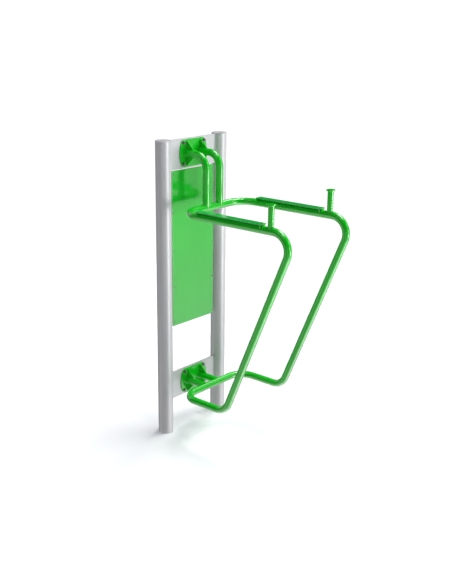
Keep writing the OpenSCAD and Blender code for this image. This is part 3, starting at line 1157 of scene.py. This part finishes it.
class STATION_OT_screws(StationOperator, bpy.types.Operator):
    """Builds the screws, washers and nuts of the back panel"""

    bl_idname = "station.screws"
    bl_label = "Panel screws"

    def build(self, sizes):
        screw = sizes.screw
        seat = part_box("back_panel")[0].y
        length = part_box("panel_screws")[1].y - seat
        places = screw_places(sizes)
        for kind, part, depth in (
            ("screw", button_screw(screw, sizes.screw_pitch, length), seat),
            ("washer", flat_washer(screw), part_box("panel_washers")[1].y),
            ("nut", hex_nut(screw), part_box("panel_nuts")[1].y),
        ):
            add_fasteners(f"panel_{kind}_set", f"panel_{kind}s", part, [depth], places)


class STATION_OT_welds(StationOperator, bpy.types.Operator):
    """Lays the weld beads, under the powder coat of what they join"""

    bl_idname = "station.welds"
    bl_label = "Weld beads"

    def build(self, sizes):
        self.mount_welds(sizes)
        self.bar_welds(sizes)
        self.armrest_welds(sizes)
        self.grip_welds(sizes)
        self.post_welds(sizes)

    def lay(self, name, slot, sizes, seams=(), rings=(), share=1.0):
        """Makes one piece of all the beads of a kind of joint."""
        radius = share * sizes.bead
        beads = [bead(path, radius, sizes.ripple) for path in seams]
        beads += [bead(path, radius, sizes.ripple, closed=True) for path in rings]
        add_piece(name, merged(beads), slot, sharp=180)

    def mount_welds(self, sizes):
        """Round each tube at its mounting plate, and round each gusset's two edges."""
        inset = BEAD_SINK * sizes.bead
        radius = tube_radius()
        for level in LEVELS:
            plate = f"{level}_mounting_plate"
            z = centre(plate).z
            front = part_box(plate)[0].y - inset
            rings, seams = [], []
            for side in SIDES:
                node = f"{level}_{side}_gussets"
                x = centre(node).x
                rings.append(circle(Vector((x, front, z)), ALONG, radius + inset))
                half = half_size(node).x + inset
                rise = half_size(node).z
                on_tube = math.sqrt(radius ** 2 - half ** 2) + inset
                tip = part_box(node)[0].y - inset
                for sign in SIDES.values():
                    for edge in (-half, half):
                        seams.append([
                            Vector((x + edge, front, z + sign * end)) for end in (on_tube, rise)])
                    corners = [
                        Vector((x + edge, y, z + sign * on_tube))
                        for edge, y in ((-half, front), (-half, tip), (half, tip), (half, front))
                    ]
                    seams.append(rounded(corners, (sizes.bead, sizes.bead)))
            self.lay(f"{level}_mount_welds", "frame_green", sizes, seams, rings, share=0.9)

    def bar_welds(self, sizes):
        """Where hangers and stubs land on the rear bars, and the ground-off seams at the middle."""
        radius = tube_radius()
        grown = radius + BEAD_SINK * sizes.bead
        rings = []
        for side in SIDES:
            x = centre(f"{side}_hanger_tube").x
            for bar, branch in zip(rear_bars(x), (UP, ALONG)):
                rings.append(landing(bar, ACROSS, branch, grown, grown))
        self.lay("bar_welds", "frame_green", sizes, rings=rings)
        sunk = radius - BEAD_SINK * sizes.bead
        rings = [circle(middle, ACROSS, sunk) for middle in rear_bars(0)]
        self.lay("splice_welds", "frame_green", sizes, rings=rings, share=0.5)

    def armrest_welds(self, sizes):
        """Both faces of each saddle, along its arm and under its armrest."""
        inset = BEAD_SINK * sizes.bead
        radius = tube_radius() + inset
        top = arm_height()
        steps = 24
        for side in SIDES:
            node = f"{side}_armrest_saddles"
            low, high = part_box(node)
            x = centre(node).x
            half = half_size(node).x - sizes.bead
            cheek = math.degrees(math.asin((low.z - top) / tube_radius()))
            seams = []
            for front in (low.y, high.y - sizes.saddle):
                for y in (front - inset, front + sizes.saddle + inset):
                    seams.append([
                        Vector((x + across, y, top + rise))
                        for across, rise in arc(0, 0, radius, cheek, 180 - cheek, steps)
                    ])
                    seams.append([Vector((x + end, y, high.z - inset)) for end in (-half, half)])
            self.lay(f"{side}_armrest_welds", "frame_green", sizes, seams, share=0.7)

    def grip_welds(self, sizes):
        """Where a grip lands on its arm, and under its disc."""
        inset = BEAD_SINK * sizes.bead
        for side in SIDES:
            node = f"{side}_grip_tube"
            radius = radius_of(node) + inset
            on_arm = on_axis(node, arm_height())
            under_disc = on_axis(node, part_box(node)[1].z - inset)
            rings = [
                landing(on_arm, ALONG, UP, tube_radius() + inset, radius),
                circle(under_disc, UP, radius),
            ]
            self.lay(f"{side}_grip_welds", "frame_green", sizes, rings=rings, share=0.8)

    def post_welds(self, sizes):
        """Cross plates, strips and caps on the posts."""
        inset = BEAD_SINK * sizes.bead
        stitch = 60 * MM
        count = 5
        for side, sign in SIDES.items():
            seams = []
            for level in LEVELS:
                low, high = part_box(f"{level}_cross_plate")
                for y, outwards in ((low.y, -inset), (high.y, inset)):
                    x = sign * (post_surface(y) - inset)
                    seams.append([
                        Vector((x, y + outwards, z))
                        for z in (low.z + sizes.bead, high.z - sizes.bead)])
            self.lay(f"{side}_plate_welds", "post_grey", sizes, seams)
            low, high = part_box(f"{side}_panel_strip")
            x = sign * (post_surface(high.y) - inset)
            gap = (high.z - low.z - 2 * stitch) / (count - 1)
            starts = [low.z + stitch / 2 + gap * i for i in range(count)]
            seams = [
                [Vector((x, high.y + inset, z)) for z in (start, start + stitch)]
                for start in starts
            ]
            self.lay(f"{side}_strip_welds", "post_grey", sizes, seams)
            node = f"{side}_post"
            seam = circle(on_axis(node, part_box(node)[1].z), UP, radius_of(node))
            self.lay(f"{side}_cap_welds", "post_grey", sizes, rings=[seam], share=0.4)


# Studio


def direction(azimuth, elevation):
    """The direction from the station to something at an azimuth and elevation, in degrees."""
    a, e = math.radians(azimuth), math.radians(elevation)
    return Vector((math.sin(a) * math.cos(e), -math.cos(a) * math.cos(e), math.sin(e)))


class STATION_OT_stage(bpy.types.Operator):
    """Sets up the floor, the soft lights and the camera"""

    bl_idname = "station.stage"
    bl_label = "Studio"

    def execute(self, context):
        studio = context.scene.studio_settings
        context.scene.view_settings.view_transform = "Standard"
        self.add_floor(studio)
        self.add_lights(context.scene, studio)
        self.add_camera(context.scene, studio)
        return {"FINISHED"}

    def add_floor(self, studio):
        """A round pale floor. A faint blue glow tints its shadows, as a window's light does."""
        material, tree = new_material("matt_white_floor_paint")
        shader = add_node(tree, "ShaderNodeBsdfPrincipled", {
            "Base Color": shade(srgb("#F7F7F7")), "Roughness": 0.9, "Specular IOR Level": 0.1,
            "Emission Color": shade(srgb("#D2E2FF")), "Emission Strength": 0.12})
        add_node(tree, "ShaderNodeOutputMaterial", {"Surface": shader.outputs["BSDF"]})
        sides = 128
        rim = [(x, y, 0) for x, y in arc(0, 0, studio.floor_radius, 0, 360, sides)[:-1]]
        mesh = bpy.data.meshes.new("floor")
        mesh.from_pydata(rim, [], [tuple(range(len(rim)))])
        mesh.materials.append(material)
        floor = bpy.data.objects.new("floor", mesh)
        bpy.context.scene.collection.objects.link(floor)
        # It takes light and shadow, but the pieces mirror the room as if it weren't there
        floor.visible_diffuse = False
        floor.visible_glossy = False

    def add_lights(self, scene, studio):
        """A dark room with soft round lights in it, which the camera itself sees as white."""
        world = bpy.data.worlds.new("studio")
        world.use_nodes = True
        tree = world.node_tree
        tree.nodes.clear()
        where = add_node(tree, "ShaderNodeTexCoord").outputs["Generated"]
        total = 0.0
        for name, azimuth, elevation, sharpness, strength in LIGHTS:
            aim = add_node(
                tree, "ShaderNodeVectorMath", {0: where, 1: direction(azimuth, elevation)},
                operation="DOT_PRODUCT", label=name)
            ahead = add_node(
                tree, "ShaderNodeMath", {0: aim.outputs["Value"], 1: 0.0}, operation="MAXIMUM")
            lobe = add_node(
                tree, "ShaderNodeMath", {0: ahead.outputs["Value"], 1: float(sharpness)},
                operation="POWER")
            added = add_node(
                tree, "ShaderNodeMath",
                {0: lobe.outputs["Value"], 1: strength * studio.light, 2: total},
                operation="MULTIPLY_ADD")
            total = added.outputs["Value"]
        # A little over full white, so that the camera sees no shade in it
        backdrop = 1.1
        room = add_node(tree, "ShaderNodeBackground", {"Strength": total})
        white = add_node(tree, "ShaderNodeBackground", {"Strength": backdrop})
        for light in (room, white):
            light.inputs["Color"].default_value = shade((1, 1, 1))
        seen = add_node(tree, "ShaderNodeLightPath").outputs["Is Camera Ray"]
        both = add_node(
            tree, "ShaderNodeMixShader",
            {0: seen, 1: room.outputs["Background"], 2: white.outputs["Background"]})
        add_node(tree, "ShaderNodeOutputWorld", {"Surface": both.outputs["Shader"]})
        scene.world = world

    def add_camera(self, scene, studio):
        """The camera, at the photograph's angle."""
        camera = bpy.data.cameras.new("camera")
        camera.lens = studio.focal_length
        camera.shift_x = (PHOTO_WIDTH / 2 - studio.axis_column) / PHOTO_HEIGHT
        seen_from = bpy.data.objects.new("camera", camera)
        back = direction(
            math.degrees(studio.camera_azimuth), math.degrees(studio.camera_elevation))
        seen_from.location = Vector(studio.camera_target) + back * studio.camera_distance
        seen_from.rotation_mode = "QUATERNION"
        seen_from.rotation_quaternion = back.to_track_quat("Z", "Y")
        scene.collection.objects.link(seen_from)
        scene.camera = seen_from


OPERATORS = (
    STATION_OT_posts, STATION_OT_cross_plates, STATION_OT_back_panel, STATION_OT_mounting_plates,
    STATION_OT_frame_tubes, STATION_OT_hangers, STATION_OT_armrests, STATION_OT_grips,
    STATION_OT_bolts, STATION_OT_screws, STATION_OT_welds, STATION_OT_stage,
)
GROUPS = {
    "station_sizes": StationSizes,
    "station_finish": StationFinish,
    "studio_settings": StudioSettings,
}


class STATION_PT_panel(bpy.types.Panel):
    """Lists the station's operators and settings"""

    bl_idname = "STATION_PT_panel"
    bl_label = "Leg raise station"
    bl_space_type = "VIEW_3D"
    bl_region_type = "UI"
    bl_category = "Station"

    def draw(self, context):
        for operator in OPERATORS:
            self.layout.operator(operator.bl_idname)
        for name in GROUPS:
            group = getattr(context.scene, name)
            for key in group.bl_rna.properties.keys():
                if key not in ("rna_type", "name"):
                    self.layout.prop(group, key)


def register():
    for cls in (*GROUPS.values(), *OPERATORS, STATION_PT_panel):
        bpy.utils.register_class(cls)
    for name, group in GROUPS.items():
        setattr(bpy.types.Scene, name, PointerProperty(type=group))


def unregister():
    for name in GROUPS:
        delattr(bpy.types.Scene, name)
    for cls in (STATION_PT_panel, *reversed(OPERATORS), *GROUPS.values()):
        bpy.utils.unregister_class(cls)


def main():
    register()
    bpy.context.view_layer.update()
    for operator in OPERATORS:
        group, name = operator.bl_idname.split(".")
        getattr(getattr(bpy.ops, group), name)()


if __name__ == "__main__":
    main()
